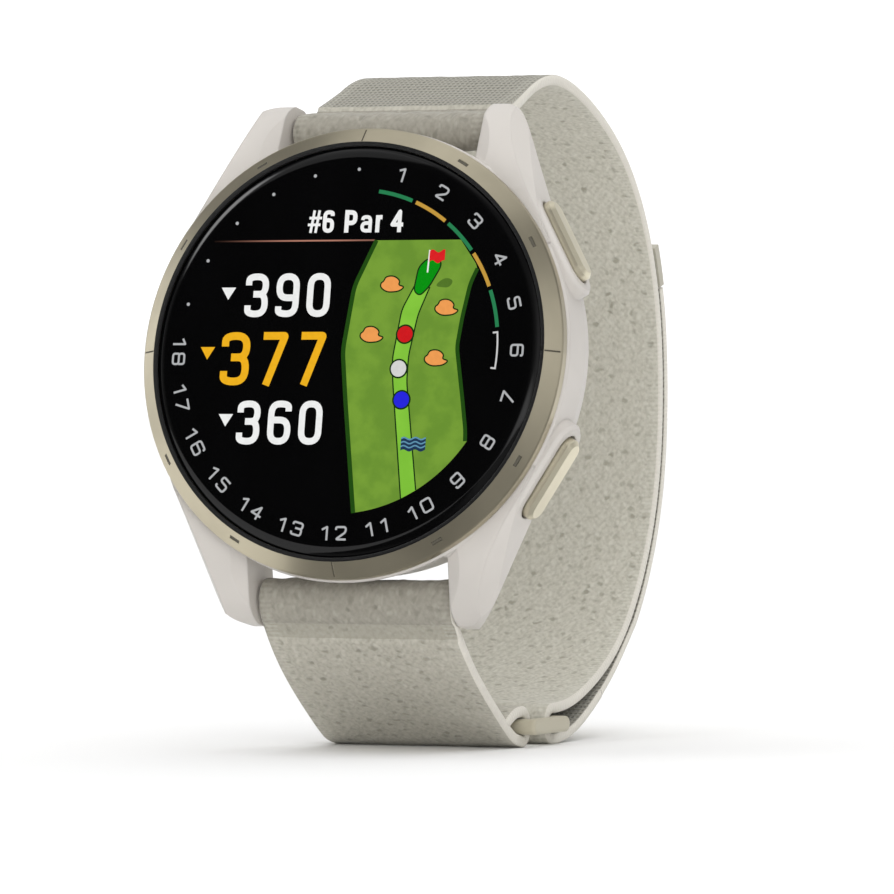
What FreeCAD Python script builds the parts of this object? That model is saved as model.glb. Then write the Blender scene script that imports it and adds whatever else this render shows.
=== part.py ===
"""Golf GPS watch standing on its closed hook-and-loop strap, one solid per sub-part.

Everything inside and on the case is drawn in the dial frame: x towards 3 o'clock, y towards
12 o'clock, z out of the glass, with z = 0 at the rim of the cover glass. place() leans the case
back and lifts it above the table. The strap is drawn in the side view, as (depth, height) from
the same dial centre, and extruded across its width.

Row frame: origin under the middle of the watch on the table, +Z up, -Y the way the dial faces,
+X towards 3 o'clock and the two buttons. Millimetres.
"""
import FreeCAD, Part
import math
import os

from FreeCAD import Placement, Rotation, Vector

# ---- stance -----------------------------------------------------------------------------
TILT = 10.0                 # the case leans back on the strap by this many degrees
DIAL_HEIGHT = 37.204        # dial centre above the table
DIAL_SIDE = -0.164          # dial centre from the middle of the whole watch, along x
DIAL_DEPTH = -26.188        # and along y

# ---- case, in the dial frame --------------------------------------------------------------
CASE_R = 21.3
BEZEL_R = 21.1
GLASS_R = 19.2
GLASS_TOP = 0.15
GLASS_BASE = -0.75
SEAL_H = 0.2                # seal under the glass, and the rear cover's
BEZEL_FOOT = -1.8
CASE_TOP = -1.95
MOUTH_R = 20.3              # case mouth that takes the bezel's skirt
CAVITY_R = 19.0
CASE_BACK = -9.4
COVER_TOP = -8.6
COVER_R = 18.65
COVER_T = 1.0
BUMP_R = 10.8               # raised sensor island on the rear cover
BUMP_H = 1.0
COVER_SCREWS = (45, 135, 225, 315)  # angles of the screws through the rear cover
COVER_SCREW_R = 16.9

# ---- lugs and spring bars -----------------------------------------------------------------
STRAP_GAP = 20.2            # between the inner faces of two lugs
BAR_Y = 22.0
BAR_Z = -7.4
BAR_R = 0.75
TIP_R = 0.4
TIP_HOLE_R = 0.45
BAR_HALF = 9.6

# ---- buttons ------------------------------------------------------------------------------
BUTTON_ANGLES = {"upper": 30.0, "lower": -30.0}
BUTTON_Z = -4.75
CAP_LENGTH = 8.4
CAP_WIDTH = 2.5
CAP_TOP = 22.75             # outer face of a cap from the dial's axis
CAP_FOOT = 21.15
CAP_GAP = 0.2
STEM_R = 0.8

# ---- strap and ring, side view ------------------------------------------------------------
STRAP_HALF = 9.8
STRAP_T = 1.0
SHORT_T = 1.2
FOLD_R = 1.9                # fabric sleeve around a spring bar
SLEEVE_R = 0.8
RING_Z = -35.25
RING_BAR_R = 0.75
FRONT_BAR_Y = 18.8
REAR_BAR_Y = 26.2
TURN_GAP = 0.2              # ring bar to the fabric that turns round it
TAIL_GAP = 0.3              # long strap to the tail that lies on it


# ---- helpers ------------------------------------------------------------------------------
def moved(shape, position, rotation):
    """Copy of a piece, turned about the origin and then shifted."""
    shape = shape.copy()
    shape.Placement = Placement(Vector(*position), rotation).multiply(shape.Placement)
    return shape


def place(shape):
    """Dial frame to row frame: lean the case back, then move it to the dial's place."""
    return moved(shape, (DIAL_SIDE, DIAL_DEPTH, DIAL_HEIGHT), Rotation(Vector(1, 0, 0), 90 - TILT))


def save(name, shape):
    """Write one node, checked to be sound closed solids."""
    if not shape.isValid() or not shape.Solids:
        raise ValueError("unsound solid: " + name)
    shape.exportStep("parts/" + name + ".step")


def save_dial(name, shape):
    save(name, place(shape))


def turned(points):
    """Solid of revolution about z from an outline of (radius, height)."""
    wire = Part.makePolygon([Vector(r, 0, z) for r, z in points + points[:1]])
    return Part.Face(wire).revolve(Vector(0, 0, 0), Vector(0, 0, 1), 360)


def ring(outer, inner, low, high):
    body = Part.makeCylinder(outer, high - low, Vector(0, 0, low))
    return body.cut(Part.makeCylinder(inner, high - low, Vector(0, 0, low)))


def disc(radius, low, high, x=0.0, y=0.0):
    return Part.makeCylinder(radius, high - low, Vector(x, y, low))


def block(x, y, low, size_x, size_y, size_z):
    """Box centred on x, y that stands on the height low."""
    corner = Vector(x - size_x / 2, y - size_y / 2, low)
    return Part.makeBox(size_x, size_y, size_z, corner)


def prism(points, low, high):
    """Outline in x, y carried from one height to another."""
    wire = Part.makePolygon([Vector(x, y, low) for x, y in points + points[:1]])
    return Part.Face(wire).extrude(Vector(0, 0, high - low))


def stadium(length, width, low, high):
    """Flat-sided bar with round ends, lying along y, from x = low to x = high."""
    half = (length - width) / 2
    r = width / 2
    ends = [Vector(low, half, r), Vector(low, half + r, 0), Vector(low, half, -r)]
    back = [Vector(low, -half, -r), Vector(low, -half - r, 0), Vector(low, -half, r)]
    edges = [Part.Arc(*ends).toShape(), Part.LineSegment(ends[2], back[0]).toShape(),
             Part.Arc(*back).toShape(), Part.LineSegment(back[2], ends[0]).toShape()]
    return Part.Face(Part.Wire(edges)).extrude(Vector(high - low, 0, 0))


def around(shape, angle, height=0.0):
    """Turn a piece about the dial's axis by an angle and shift it along that axis."""
    return moved(shape, (0, 0, height), Rotation(Vector(0, 0, 1), angle))


def rod(radius, x0, x1, y=0.0, z=0.0):
    """Round bar along x."""
    return Part.makeCylinder(radius, x1 - x0, Vector(x0, y, z), Vector(1, 0, 0))


def beyond(point, normal, size=60.0):
    """Everything on the far side of a plane, as a big block to cut away."""
    slab = Part.makeBox(size, size, size, Vector(-size / 2, -size / 2, 0))
    return moved(slab, point, Rotation(Vector(0, 0, 1), Vector(*normal)))


def mirrored(shape, normal):
    return shape.mirror(Vector(0, 0, 0), normal)


def through(points):
    """Curve through points, its parameter growing with the distance between them."""
    at = [0.0]
    for here, there in zip(points, points[1:]):
        at.append(at[-1] + here.distanceToPoint(there))
    curve = Part.BSplineCurve()
    curve.interpolate(points, Parameters=at)
    return curve


# ---- case ---------------------------------------------------------------------------------
def lug():
    """The lug at the upper right: tapered, with a bevelled flank and a chamfered inner edge."""
    inner = STRAP_GAP / 2
    flank = [Vector(x, y, -12) for x, y in ((11.2, 24.5), (12.4, 24.15), (13.5, 23.1),
                                            (14.6, 20.6), (16.6, 15.0), (18.6, 10.4))]
    inside = [Vector(x, y, -12) for x, y in ((18.6, 10.4), (14.0, 8.0), (inner, 12.0),
                                             (inner, 24.5), (11.2, 24.5))]
    wire = Part.Wire([through(flank).toShape()] + Part.makePolygon(inside).Edges)
    body = Part.Face(wire).extrude(Vector(0, 0, 11))
    back = [Vector(0, y, z) for y, z in ((15.5, -2.0), (18.5, -2.45), (21.2, -3.4), (23.3, -4.8),
                                         (24.45, -6.6), (24.5, -8.6), (23.8, -9.8), (22.4, -10.1))]
    front = [Vector(0, y, z) for y, z in ((22.4, -10.1), (19.0, -9.0), (16.0, -8.4), (6.0, -8.4),
                                          (6.0, CASE_TOP), (15.5, -2.0))]
    wire = Part.Wire([through(back).toShape()] + Part.makePolygon(front).Edges)
    body = body.common(Part.Face(wire).extrude(Vector(30, 0, 0)))
    body = body.cut(beyond((13.5, 21.0, -3.4), (0.87, 0.49, 0.42)))
    body = body.cut(beyond((inner + 1.0, 21.0, -3.4), (-0.42, 0.25, 0.82)))
    return body.cut(beyond((14.6, 20.6, -6.1), (0.80, 0.33, -0.50)))


def button_frame(angle):
    """Turns a piece drawn along +x, centred on z = 0, to a button's place."""
    return lambda shape: around(shape, angle, BUTTON_Z)


def case_shell():
    """One moulding: a turned wall drawn in between the lugs, four lugs and two button bosses."""
    profile = [(20.95, CASE_TOP), (21.25, -2.25), (CASE_R, -5.8), (21.05, -7.2), (20.45, -8.4),
               (19.6, CASE_BACK), (18.75, CASE_BACK), (18.75, -8.5), (17.4, -8.5), (17.4, -7.7),
               (CAVITY_R, -7.2), (CAVITY_R, -3.1), (MOUTH_R, -3.1), (MOUTH_R, CASE_TOP)]
    shell = turned(profile)
    upper_right = lug()
    upper_left = mirrored(upper_right, Vector(1, 0, 0))
    for side_lug in (upper_right, upper_left):
        shell = shell.fuse(side_lug).fuse(mirrored(side_lug, Vector(0, 1, 0)))
    drawn_in = turned([(0, -2.3), (21.05, -2.3), (19.55, -9.8), (0, -9.8)])
    waist = block(0, -20.5, -9.8, STRAP_GAP, 9.0, 7.5).cut(drawn_in)
    shell = shell.cut(waist).cut(mirrored(waist, Vector(0, 1, 0)))
    for angle in BUTTON_ANGLES.values():
        to_button = button_frame(angle)
        boss = stadium(10.9, 4.9, 19.5, 21.85)
        rim = [e for e in boss.Edges if e.BoundBox.XMin > 21.8]
        shell = shell.fuse(to_button(boss.makeChamfer(0.35, rim)))
    cavity = disc(CAVITY_R, -7.2, CASE_TOP)
    for corner in COVER_SCREWS:
        post = around(disc(2.0, -8.5, -5.6, 17.2), corner)
        shell = shell.fuse(post)
        cavity = cavity.cut(post)
    shell = shell.cut(cavity).cut(disc(MOUTH_R, -3.1, 2.0))
    for corner in COVER_SCREWS:
        shell = shell.cut(around(disc(0.5, -8.6, -6.2, COVER_SCREW_R), corner))
    for angle in BUTTON_ANGLES.values():
        to_button = button_frame(angle)
        gap = 2 * CAP_GAP
        shell = shell.cut(to_button(stadium(CAP_LENGTH + gap, CAP_WIDTH + gap, 20.55, 24.0)))
        shell = shell.cut(to_button(rod(STEM_R + 0.05, 17.0, 21.0)))
    for y in (BAR_Y, -BAR_Y):
        shell = shell.cut(rod(FOLD_R + 0.4, -STRAP_GAP / 2, STRAP_GAP / 2, y, BAR_Z))
        shell = shell.cut(rod(TIP_HOLE_R, -11.7, 11.7, y, BAR_Z))
    return shell.removeSplitter()


def bezel_ring():
    """Conical ring with an inner chamfer, a skirt that enters the case, and engraved marks."""
    profile = [(19.3, 0.0), (19.62, 0.12), (20.98, -0.84), (BEZEL_R, -0.98), (BEZEL_R, BEZEL_FOOT),
               (20.2, BEZEL_FOOT), (20.2, -2.9), (19.3, -2.9), (19.3, -1.5), (18.0, -1.5),
               (18.0, GLASS_BASE - SEAL_H), (19.3, GLASS_BASE - SEAL_H)]
    body = turned(profile)
    slope = math.degrees(math.atan2(0.96, 1.36))
    for hour in range(12):
        line = hour % 3 == 0
        mark = block(0, 0, -0.07, 1.5, 0.13, 0.5) if line else block(0, 0, -0.07, 0.34, 1.1, 0.5)
        mark = moved(mark, (20.3, 0, -0.36), Rotation(Vector(0, 1, 0), slope))
        body = body.cut(around(mark, 30 * hour))
    return body


def cover_glass():
    """Flat in the middle, with an edge that rolls down to the bezel."""
    edge = Part.Arc(Vector(17.6, 0, GLASS_TOP), Vector(18.6, 0, 0.06), Vector(GLASS_R, 0, -0.22))
    points = [Vector(GLASS_R, 0, -0.22), Vector(GLASS_R, 0, GLASS_BASE), Vector(0, 0, GLASS_BASE),
              Vector(0, 0, GLASS_TOP), Vector(17.6, 0, GLASS_TOP)]
    wire = Part.Wire([edge.toShape()] + Part.makePolygon(points).Edges)
    return Part.Face(wire).revolve(Vector(0, 0, 0), Vector(0, 0, 1), 360)


def display_flex():
    """Ribbon from under the panel down to the board at 6 o'clock."""
    t = 0.15
    side = [(-12.0, -1.75), (-15.5, -1.75), (-15.5, -3.4), (-13.0, -3.4), (-13.0, -3.4 + t),
            (-15.5 + t, -3.4 + t), (-15.5 + t, -1.75 - t), (-12.0, -1.75 - t)]
    wire = Part.makePolygon([Vector(-4, y, z) for y, z in side + side[:1]])
    return Part.Face(wire).extrude(Vector(8, 0, 0))


BOARD_SCREWS = (75, 195, 315)     # angles of the screws through the board


def mid_frame():
    body = ring(18.9, 12.0, -2.6, -1.75).fuse(ring(18.9, 18.1, -2.9, -2.6))
    for angle in BOARD_SCREWS:
        body = body.fuse(around(disc(1.4, -3.4, -2.6, 15.4), angle))
    body = body.cut(block(0, -13.9, -3.5, 9.2, 4.6, 2.0))
    for angle in BOARD_SCREWS:
        body = body.cut(around(disc(0.45, -3.5, -2.0, 15.4), angle))
    return body


def main_board():
    body = disc(17.3, -4.2, -3.4)
    for angle in BOARD_SCREWS:
        body = body.cut(around(disc(0.65, -4.3, -3.3, 15.4), angle))
    for angle in BUTTON_ANGLES.values():
        body = body.cut(around(block(17.7, 0, -4.3, 2.0, 2.6, 1.0), angle))
    return body


def countersunk(radius, head_r, head_h, length):
    """Small screw standing on its tip: shank up to z = 0, head above it."""
    screw = Part.makeCylinder(radius, length, Vector(0, 0, -length))
    screw = screw.fuse(Part.makeCylinder(head_r, head_h))
    slot = block(0, 0, head_h - 0.15, head_r * 1.3, 0.25, 0.3)
    return screw.cut(slot).cut(around(slot, 90))


def board_screws():
    """Heads under the board, shanks up into the mid frame's bosses."""
    screw = countersunk(0.44, 0.9, 0.4, 1.7)
    screw = screw.mirror(Vector(0, 0, 0), Vector(0, 0, 1))
    made = []
    for angle in BOARD_SCREWS:
        one = screw.copy()
        one.translate(Vector(15.4, 0, -4.2))
        made.append(around(one, angle))
    return Part.makeCompound(made)


def shield_can():
    can = block(-4.5, 4.0, -5.2, 9.0, 8.0, 1.0)
    return can.cut(block(-4.5, 4.0, -5.05, 8.7, 7.7, 0.9))


def battery():
    body = block(-2.5, 0.0, -8.1, 22.0, 19.0, 2.6)
    upright = [e for e in body.Edges if abs(e.Vertexes[0].Z - e.Vertexes[1].Z) > 1]
    return body.makeFillet(2.5, upright)


def rear_cover():
    """Plate with a raised sensor island, a window seat, a charging socket and screw holes."""
    profile = [(0, COVER_TOP), (COVER_R, COVER_TOP), (COVER_R, COVER_TOP - 0.75),
               (COVER_R - 0.25, COVER_TOP - COVER_T), (BUMP_R, COVER_TOP - COVER_T),
               (BUMP_R - 1.0, COVER_TOP - COVER_T - BUMP_H), (0, COVER_TOP - COVER_T - BUMP_H)]
    body = turned(profile)
    body = body.cut(disc(9.2, -9.7, COVER_TOP))
    body = body.cut(disc(6.0, -11.0, -9.6)).cut(disc(7.0, -11.0, -9.95))
    body = body.cut(charging_shape(7.4, 3.0, -10.0, -8.0))
    for corner in COVER_SCREWS:
        body = body.cut(around(disc(0.6, -10.0, -8.0, COVER_SCREW_R), corner))
        body = body.cut(around(disc(1.15, -10.0, -9.15, COVER_SCREW_R), corner))
    return body


def charging_shape(length, width, low, high):
    """Rounded slot along x above the sensor island."""
    body = block(0, 14.1, low, length, width, high - low)
    upright = [e for e in body.Edges if abs(e.Vertexes[0].Z - e.Vertexes[1].Z) > 0.2]
    return body.makeFillet(width * 0.42, upright)


def charging_socket():
    cup = charging_shape(7.4, 3.0, -9.6, -8.0)
    cup = cup.cut(charging_shape(6.4, 2.0, -9.7, -8.8))
    for x in (-2.1, -0.7, 0.7, 2.1):
        cup = cup.cut(disc(0.3, -9.7, -7.9, x, 14.1))
    return cup


def charging_contacts():
    pins = [disc(0.3, -9.3, -7.7, x, 14.1) for x in (-2.1, -0.7, 0.7, 2.1)]
    return Part.makeCompound(pins)


def rear_cover_screws():
    screw = countersunk(0.49, 1.05, 0.35, 2.4).mirror(Vector(0, 0, 0), Vector(0, 0, 1))
    made = []
    for corner in COVER_SCREWS:
        one = screw.copy()
        one.translate(Vector(COVER_SCREW_R, 0, -9.15))
        made.append(around(one, corner))
    return Part.makeCompound(made)


def sensor_window():
    return turned([(0, -9.95), (6.9, -9.95), (6.9, -10.62), (5.4, -10.85), (0, -10.85)])


def sensor_chips(radius, count, size, start=0.0):
    """Like chips in a circle on the wrist side of the sensor board."""
    made = []
    for n in range(count):
        made.append(around(block(radius, 0, -9.5, size, size, 0.35), start + 360.0 * n / count))
    return Part.makeCompound(made)


def make_case():
    save_dial("case_shell", case_shell())
    save_dial("bezel_ring", bezel_ring())
    save_dial("bezel_gasket", ring(20.15, 19.4, -3.1, -2.9))
    save_dial("cover_glass", cover_glass())
    save_dial("glass_seal", ring(GLASS_R, 18.0, GLASS_BASE - SEAL_H, GLASS_BASE))
    save_dial("display_panel", disc(16.2, -1.75, GLASS_BASE))
    save_dial("display_flex", display_flex())
    save_dial("mid_frame", mid_frame())
    save_dial("antenna_ring", ring(18.0, 17.2, -3.1, -2.6).cut(block(0, -17.6, -3.5, 12, 6, 2)))
    save_dial("main_board", main_board())
    save_dial("board_screws", board_screws())
    save_dial("shield_can", shield_can())
    save_dial("processor_chip", block(-4.5, 4.0, -4.9, 5.0, 5.0, 0.7))
    save_dial("gps_chip", block(5.5, -6.5, -4.95, 3.6, 3.6, 0.75))
    save_dial("battery", battery())
    save_dial("battery_pad", block(-2.5, 0, -8.6, 16.0, 14.0, 0.5))
    save_dial("vibration_motor", disc(3.9, -8.1, -5.5, 13.1, 0.0))


def make_rear():
    save_dial("rear_cover", rear_cover())
    save_dial("rear_cover_gasket", ring(18.5, 17.95, -8.6, -8.5))
    save_dial("rear_cover_screws", rear_cover_screws())
    save_dial("sensor_window", sensor_window())
    save_dial("sensor_baffle", ring(9.0, 6.2, -9.7, -9.15))
    save_dial("sensor_board", disc(8.0, -9.15, -8.75))
    save_dial("sensor_leds", sensor_chips(2.2, 3, 1.0, 30.0))
    save_dial("sensor_photodiodes", sensor_chips(4.6, 4, 1.6, 45.0))
    save_dial("charging_socket", charging_socket())
    save_dial("charging_contacts", charging_contacts())


# ---- buttons ------------------------------------------------------------------------------
def button_cap():
    cap = stadium(CAP_LENGTH, CAP_WIDTH, CAP_FOOT, CAP_TOP)
    rim = [e for e in cap.Edges if e.BoundBox.XMin > CAP_TOP - 0.01]
    return cap.makeChamfer(0.35, rim)


def button_stem():
    """Stem with a groove for the seal and one for the clip."""
    stem = rod(STEM_R, 17.35, CAP_FOOT)
    for low, high in ((19.7, 20.2), (18.6, 18.8)):
        stem = stem.cut(rod(STEM_R, low, high).cut(rod(0.55, low, high)))
    return stem


def make_buttons():
    for name, angle in BUTTON_ANGLES.items():
        to_button = button_frame(angle)
        collar = rod(STEM_R + 0.04, 19.7, 20.2).cut(rod(0.55, 19.7, 20.2))
        clip = rod(1.4, 18.6, 18.8).cut(rod(0.55, 18.6, 18.8)).cut(block(18.7, 1.2, -0.4, 1, 2.4, 0.8))
        switch = block(15.9, 0, -0.45, 2.0, 3.2, 1.0).cut(rod(0.42, 16.1, 17.0))
        save_dial(name + "_button_cap", to_button(button_cap()))
        save_dial(name + "_button_stem", to_button(button_stem()))
        save_dial(name + "_button_seal", to_button(collar))
        save_dial(name + "_button_clip", to_button(clip))
        save_dial(name + "_switch_plunger", to_button(rod(0.38, 16.7, 17.35)))
        save_dial(name + "_switch", to_button(switch))


# ---- spring bars --------------------------------------------------------------------------
def bar_tube():
    """Tube with a bore for the moving tip, a seat for the fixed one and a slot for the knob."""
    tube = rod(BAR_R, -BAR_HALF, BAR_HALF)
    tube = tube.cut(rod(TIP_HOLE_R, -BAR_HALF, -2.0)).cut(rod(TIP_HOLE_R, 8.4, BAR_HALF))
    return tube.cut(block(-6.7, 0, -1.0, 2.3, 0.8, 1.0))


def bar_fixed_tip():
    return rod(0.44, 8.4, BAR_HALF).fuse(rod(TIP_R, BAR_HALF, 11.3))


def bar_release_tip():
    """Moving tip with its thumb knob, which sticks out on the wrist side."""
    tip = rod(TIP_R, -11.3, -6.2)
    pin = Part.makeCylinder(0.3, 1.5, Vector(-7.3, 0, 0), Vector(0, 0, -1))
    knob = Part.makeCylinder(0.55, 0.6, Vector(-7.3, 0, -1.4), Vector(0, 0, -1))
    return tip.fuse(pin).fuse(knob)


def bar_spring():
    """Compression spring between the moving tip and the end of its bore."""
    helix = Part.makeHelix(0.7, 4.2, 0.3)
    start = Vector(0.3, 0, 0)
    section = Part.Wire(Part.Circle(start, Vector(0, 1, 0), 0.07).toShape())
    coil = Part.Wire(helix).makePipeShell([section], True, True)
    return moved(coil, (-6.2, 0, 0), Rotation(Vector(0, 0, 1), Vector(1, 0, 0)))


def make_spring_bars():
    pieces = {"spring_bar_tube": bar_tube(), "spring_bar_fixed_tip": bar_fixed_tip(),
              "spring_bar_release_tip": bar_release_tip(), "spring_bar_spring": bar_spring()}
    for side, y in (("upper", BAR_Y), ("lower", -BAR_Y)):
        for name, shape in pieces.items():
            shape = shape.copy()
            shape.translate(Vector(0, y, BAR_Z))
            save_dial(side + "_" + name, shape)


# ---- strap, drawn in the side view ------------------------------------------------------
def side(y, z, x=0.0):
    """Side-view point, depth and height from the dial centre, in the row frame."""
    return Vector(DIAL_SIDE + x, DIAL_DEPTH + y, DIAL_HEIGHT + z)


def bar_centre(y):
    """Side-view place of a spring bar whose dial-frame height is y."""
    lean = math.radians(TILT)
    return (y * math.sin(lean) - BAR_Z * math.cos(lean), y * math.cos(lean) + BAR_Z * math.sin(lean))


UPPER_BAR = bar_centre(BAR_Y)
LOWER_BAR = bar_centre(-BAR_Y)
TURN_R = RING_BAR_R + TURN_GAP      # inner radius of the fabric that turns round a ring bar

# The outer face of the long strap, from the top fold over the back and down to the ring.
LONG_OUTER = [(UPPER_BAR[0], UPPER_BAR[1] + FOLD_R), (12.6, 22.31), (14.6, 22.55), (17.8, 23.7), (21.8, 25.4),
              (26.9, 26.28), (32.5, 25.35), (38.8, 22.9), (45.3, 18.8), (50.3, 13.0),
              (53.6, 5.3), (54.6, -3.5), (53.4, -13.5), (49.6, -21.8), (43.2, -28.7),
              (36.0, -32.4),
              (28.6, -34.2), (REAR_BAR_Y, RING_Z + TURN_R)]
# The outer face of the same fabric once it is through the ring, up to where the tail begins.
RETURN_OUTER = [(REAR_BAR_Y, -DIAL_HEIGHT), (28.2, -37.12), (31.4, -36.5), (36.2, -34.55), (41.8, -31.25),
                (47.0, -27.1)]
# The outer face of the short strap, from the bottom fold to the ring.
SHORT_OUTER = [(LOWER_BAR[0] - FOLD_R, LOWER_BAR[1]), (1.68, -24.0), (2.5, -25.5), (5.2, -28.6), (8.6, -31.5),
               (12.0, -33.9), (15.0, -35.85), (17.0, -36.85),
               (FRONT_BAR_Y, -DIAL_HEIGHT)]
# The short strap's end, sewn back onto its inner face.
SHORT_TAB = [(FRONT_BAR_Y, -33.3), (17.0, -33.4), (15.2, -33.75), (14.2, -33.95), (15.5, -35.0),
             (FRONT_BAR_Y, -34.6)]
# Wedge of folded fabric between the top sleeve and the long strap.
TOP_WEB = [(11.4, 18.6), (14.2, 20.3), (17.6, 22.9), (13.0, 21.6)]
TIP_RUN = 47.6              # along the long strap from its start to the free tip of the tail
TAIL_END_RUN = 22.2         # along it from the start of the tail to the ring
TAB_RUN = 4.0
HOOK_T = 0.25


def smooth(points):
    """Curve through side-view points."""
    return through([side(*p) for p in points])


def shifted(curve, distance, samples):
    """Points of a curve moved a distance to its left, with depth drawn to the right."""
    first, last = curve.FirstParameter, curve.LastParameter
    made = []
    for n in range(samples + 1):
        t = first + (last - first) * n / samples
        along = curve.tangent(t)[0]
        made.append(curve.value(t) + Vector(0, -along.z, along.y) * distance)
    return made


def band(curve, near, far, samples=24, first_cut=0.0, last_cut=0.0, half=STRAP_HALF):
    """Fabric between two distances from a curve, as wide as the strap, with its ends cut back."""
    curve = curve.copy()
    low = curve.parameterAtDistance(first_cut, curve.FirstParameter)
    high = curve.parameterAtDistance(curve.length() - last_cut, curve.FirstParameter)
    curve.segment(low, high)
    one, two = [through(shifted(curve, distance, samples)) for distance in (near, far)]
    ends = [Part.LineSegment(one.EndPoint, two.EndPoint), Part.LineSegment(two.StartPoint, one.StartPoint)]
    edges = [one.toShape(), ends[0].toShape(), two.toShape(), ends[1].toShape()]
    face = Part.Face(Part.Wire(Part.__sortEdges__(edges)))
    face.translate(Vector(-half, 0, 0))
    return face.extrude(Vector(2 * half, 0, 0))


def side_prism(points, half=STRAP_HALF):
    wire = Part.makePolygon([side(y, z, -half) for y, z in points + points[:1]])
    return Part.Face(wire).extrude(Vector(2 * half, 0, 0))


def cross_rod(radius, y, z, half=STRAP_HALF):
    """Round bar across the strap."""
    return Part.makeCylinder(radius, 2 * half, side(y, z, -half), Vector(1, 0, 0))


def half_turn(y, forward):
    """Fabric turned half way round a ring bar, on its front or its rear side."""
    turn = cross_rod(TURN_R + STRAP_T, y, RING_Z).cut(cross_rod(TURN_R, y, RING_Z))
    lap = 0.25
    start = y - 3.0 if forward else y - lap
    keep = Part.makeBox(2 * STRAP_HALF, 3.0 + lap, 6.0, side(start, RING_Z - 3, -STRAP_HALF))
    return turn.common(keep)


def knob_notch(y):
    """Cut-out in a fold, on the wrist side, where the release knob is reached."""
    notch = block(-6.7, 0, -3.0, 4.4, 3.0, 2.6)
    notch.translate(Vector(0, y, BAR_Z))
    return place(notch)


def long_strap(curve):
    """Fold round the upper bar, run over the back, and turn through the ring, in one strip."""
    body = band(curve, -STRAP_T, 0.0, samples=40)
    body = body.fuse(cross_rod(FOLD_R, *UPPER_BAR)).fuse(side_prism(TOP_WEB))
    body = body.fuse(half_turn(REAR_BAR_Y, True))
    back = smooth(RETURN_OUTER)
    body = body.fuse(band(back, 0.0, STRAP_T, samples=12))
    body = body.cut(cross_rod(SLEEVE_R, *UPPER_BAR)).cut(knob_notch(BAR_Y))
    return body.removeSplitter()


def short_strap():
    """Fold round the lower bar, run down to the ring, and turn round its front bar."""
    curve = smooth(SHORT_OUTER)
    body = band(curve, 0.0, SHORT_T)
    body = body.fuse(cross_rod(FOLD_R, *LOWER_BAR)).fuse(half_turn(FRONT_BAR_Y, False))
    body = body.fuse(side_prism(SHORT_TAB))
    body = body.cut(cross_rod(SLEEVE_R, *LOWER_BAR)).cut(cross_rod(TURN_R, FRONT_BAR_Y, RING_Z))
    return body.cut(knob_notch(-BAR_Y)).removeSplitter()


def buckle_ring():
    """Moulded rectangular ring: two round bars joined by two flat legs with round ends."""
    inner, outer = STRAP_HALF + 0.3, STRAP_HALF + 1.4
    body = cross_rod(RING_BAR_R, FRONT_BAR_Y, RING_Z, inner + 0.4)
    body = body.fuse(cross_rod(RING_BAR_R, REAR_BAR_Y, RING_Z, inner + 0.4))
    for x in (-outer, inner):
        leg = Part.makeBox(outer - inner, REAR_BAR_Y - FRONT_BAR_Y, 2 * RING_BAR_R,
                           side(FRONT_BAR_Y, RING_Z - RING_BAR_R, x))
        for y in (FRONT_BAR_Y, REAR_BAR_Y):
            leg = leg.fuse(Part.makeCylinder(RING_BAR_R, outer - inner, side(y, RING_Z, x), Vector(1, 0, 0)))
        leg = leg.removeSplitter()
        flat = [e for e in leg.Edges if e.BoundBox.XLength < 0.01]
        body = body.fuse(leg.makeFillet(0.3, flat))
    return body.removeSplitter()


def make_strap():
    curve = smooth(LONG_OUTER)
    print("long strap runs", round(curve.length(), 1), "mm")
    save("long_strap", long_strap(curve))
    save("short_strap", short_strap())
    save("buckle_ring", buckle_ring())
    tail_low = TAIL_GAP + HOOK_T
    tail_high = TAIL_GAP + STRAP_T
    save("strap_tail", band(curve, tail_low, tail_high, first_cut=TIP_RUN + TAB_RUN, last_cut=TAIL_END_RUN))
    save("tail_end_tab", band(curve, TAIL_GAP, tail_high, first_cut=TIP_RUN,
                              last_cut=curve.length() - TIP_RUN - TAB_RUN, samples=6))
    save("hook_patch", band(curve, TAIL_GAP, tail_low, first_cut=TIP_RUN + TAB_RUN,
                            last_cut=TAIL_END_RUN + 2.0, half=STRAP_HALF - 0.6))


def main():
    os.makedirs("parts", exist_ok=True)
    make_case()
    make_rear()
    make_buttons()
    make_spring_bars()
    make_strap()


main()
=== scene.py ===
import math

import bpy
import numpy as np
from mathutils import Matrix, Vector


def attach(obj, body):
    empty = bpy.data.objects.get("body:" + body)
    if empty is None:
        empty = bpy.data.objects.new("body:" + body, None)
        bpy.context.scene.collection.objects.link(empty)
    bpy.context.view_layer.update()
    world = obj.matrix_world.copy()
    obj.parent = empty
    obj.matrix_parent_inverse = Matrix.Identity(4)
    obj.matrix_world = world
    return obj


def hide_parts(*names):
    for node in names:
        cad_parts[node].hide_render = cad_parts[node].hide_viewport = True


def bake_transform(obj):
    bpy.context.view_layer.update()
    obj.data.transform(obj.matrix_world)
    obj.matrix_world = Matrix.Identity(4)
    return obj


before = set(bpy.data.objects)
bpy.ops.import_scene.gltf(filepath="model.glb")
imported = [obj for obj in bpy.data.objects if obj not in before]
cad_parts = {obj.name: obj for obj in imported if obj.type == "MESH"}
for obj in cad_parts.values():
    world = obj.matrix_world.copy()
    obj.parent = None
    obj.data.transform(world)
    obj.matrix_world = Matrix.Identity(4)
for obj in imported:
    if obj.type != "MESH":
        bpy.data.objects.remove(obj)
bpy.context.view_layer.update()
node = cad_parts

# ---- Case shell -----------------------------------------------------------------------------
# One moulding of glass-fibre filled polymer in warm ivory, with four lugs and two button bosses.
# It is tumbled to a fine satin after moulding, so it has a close grain and slightly polished rims.
MM = 0.001
IVORY = (200, 195, 189)


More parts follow.
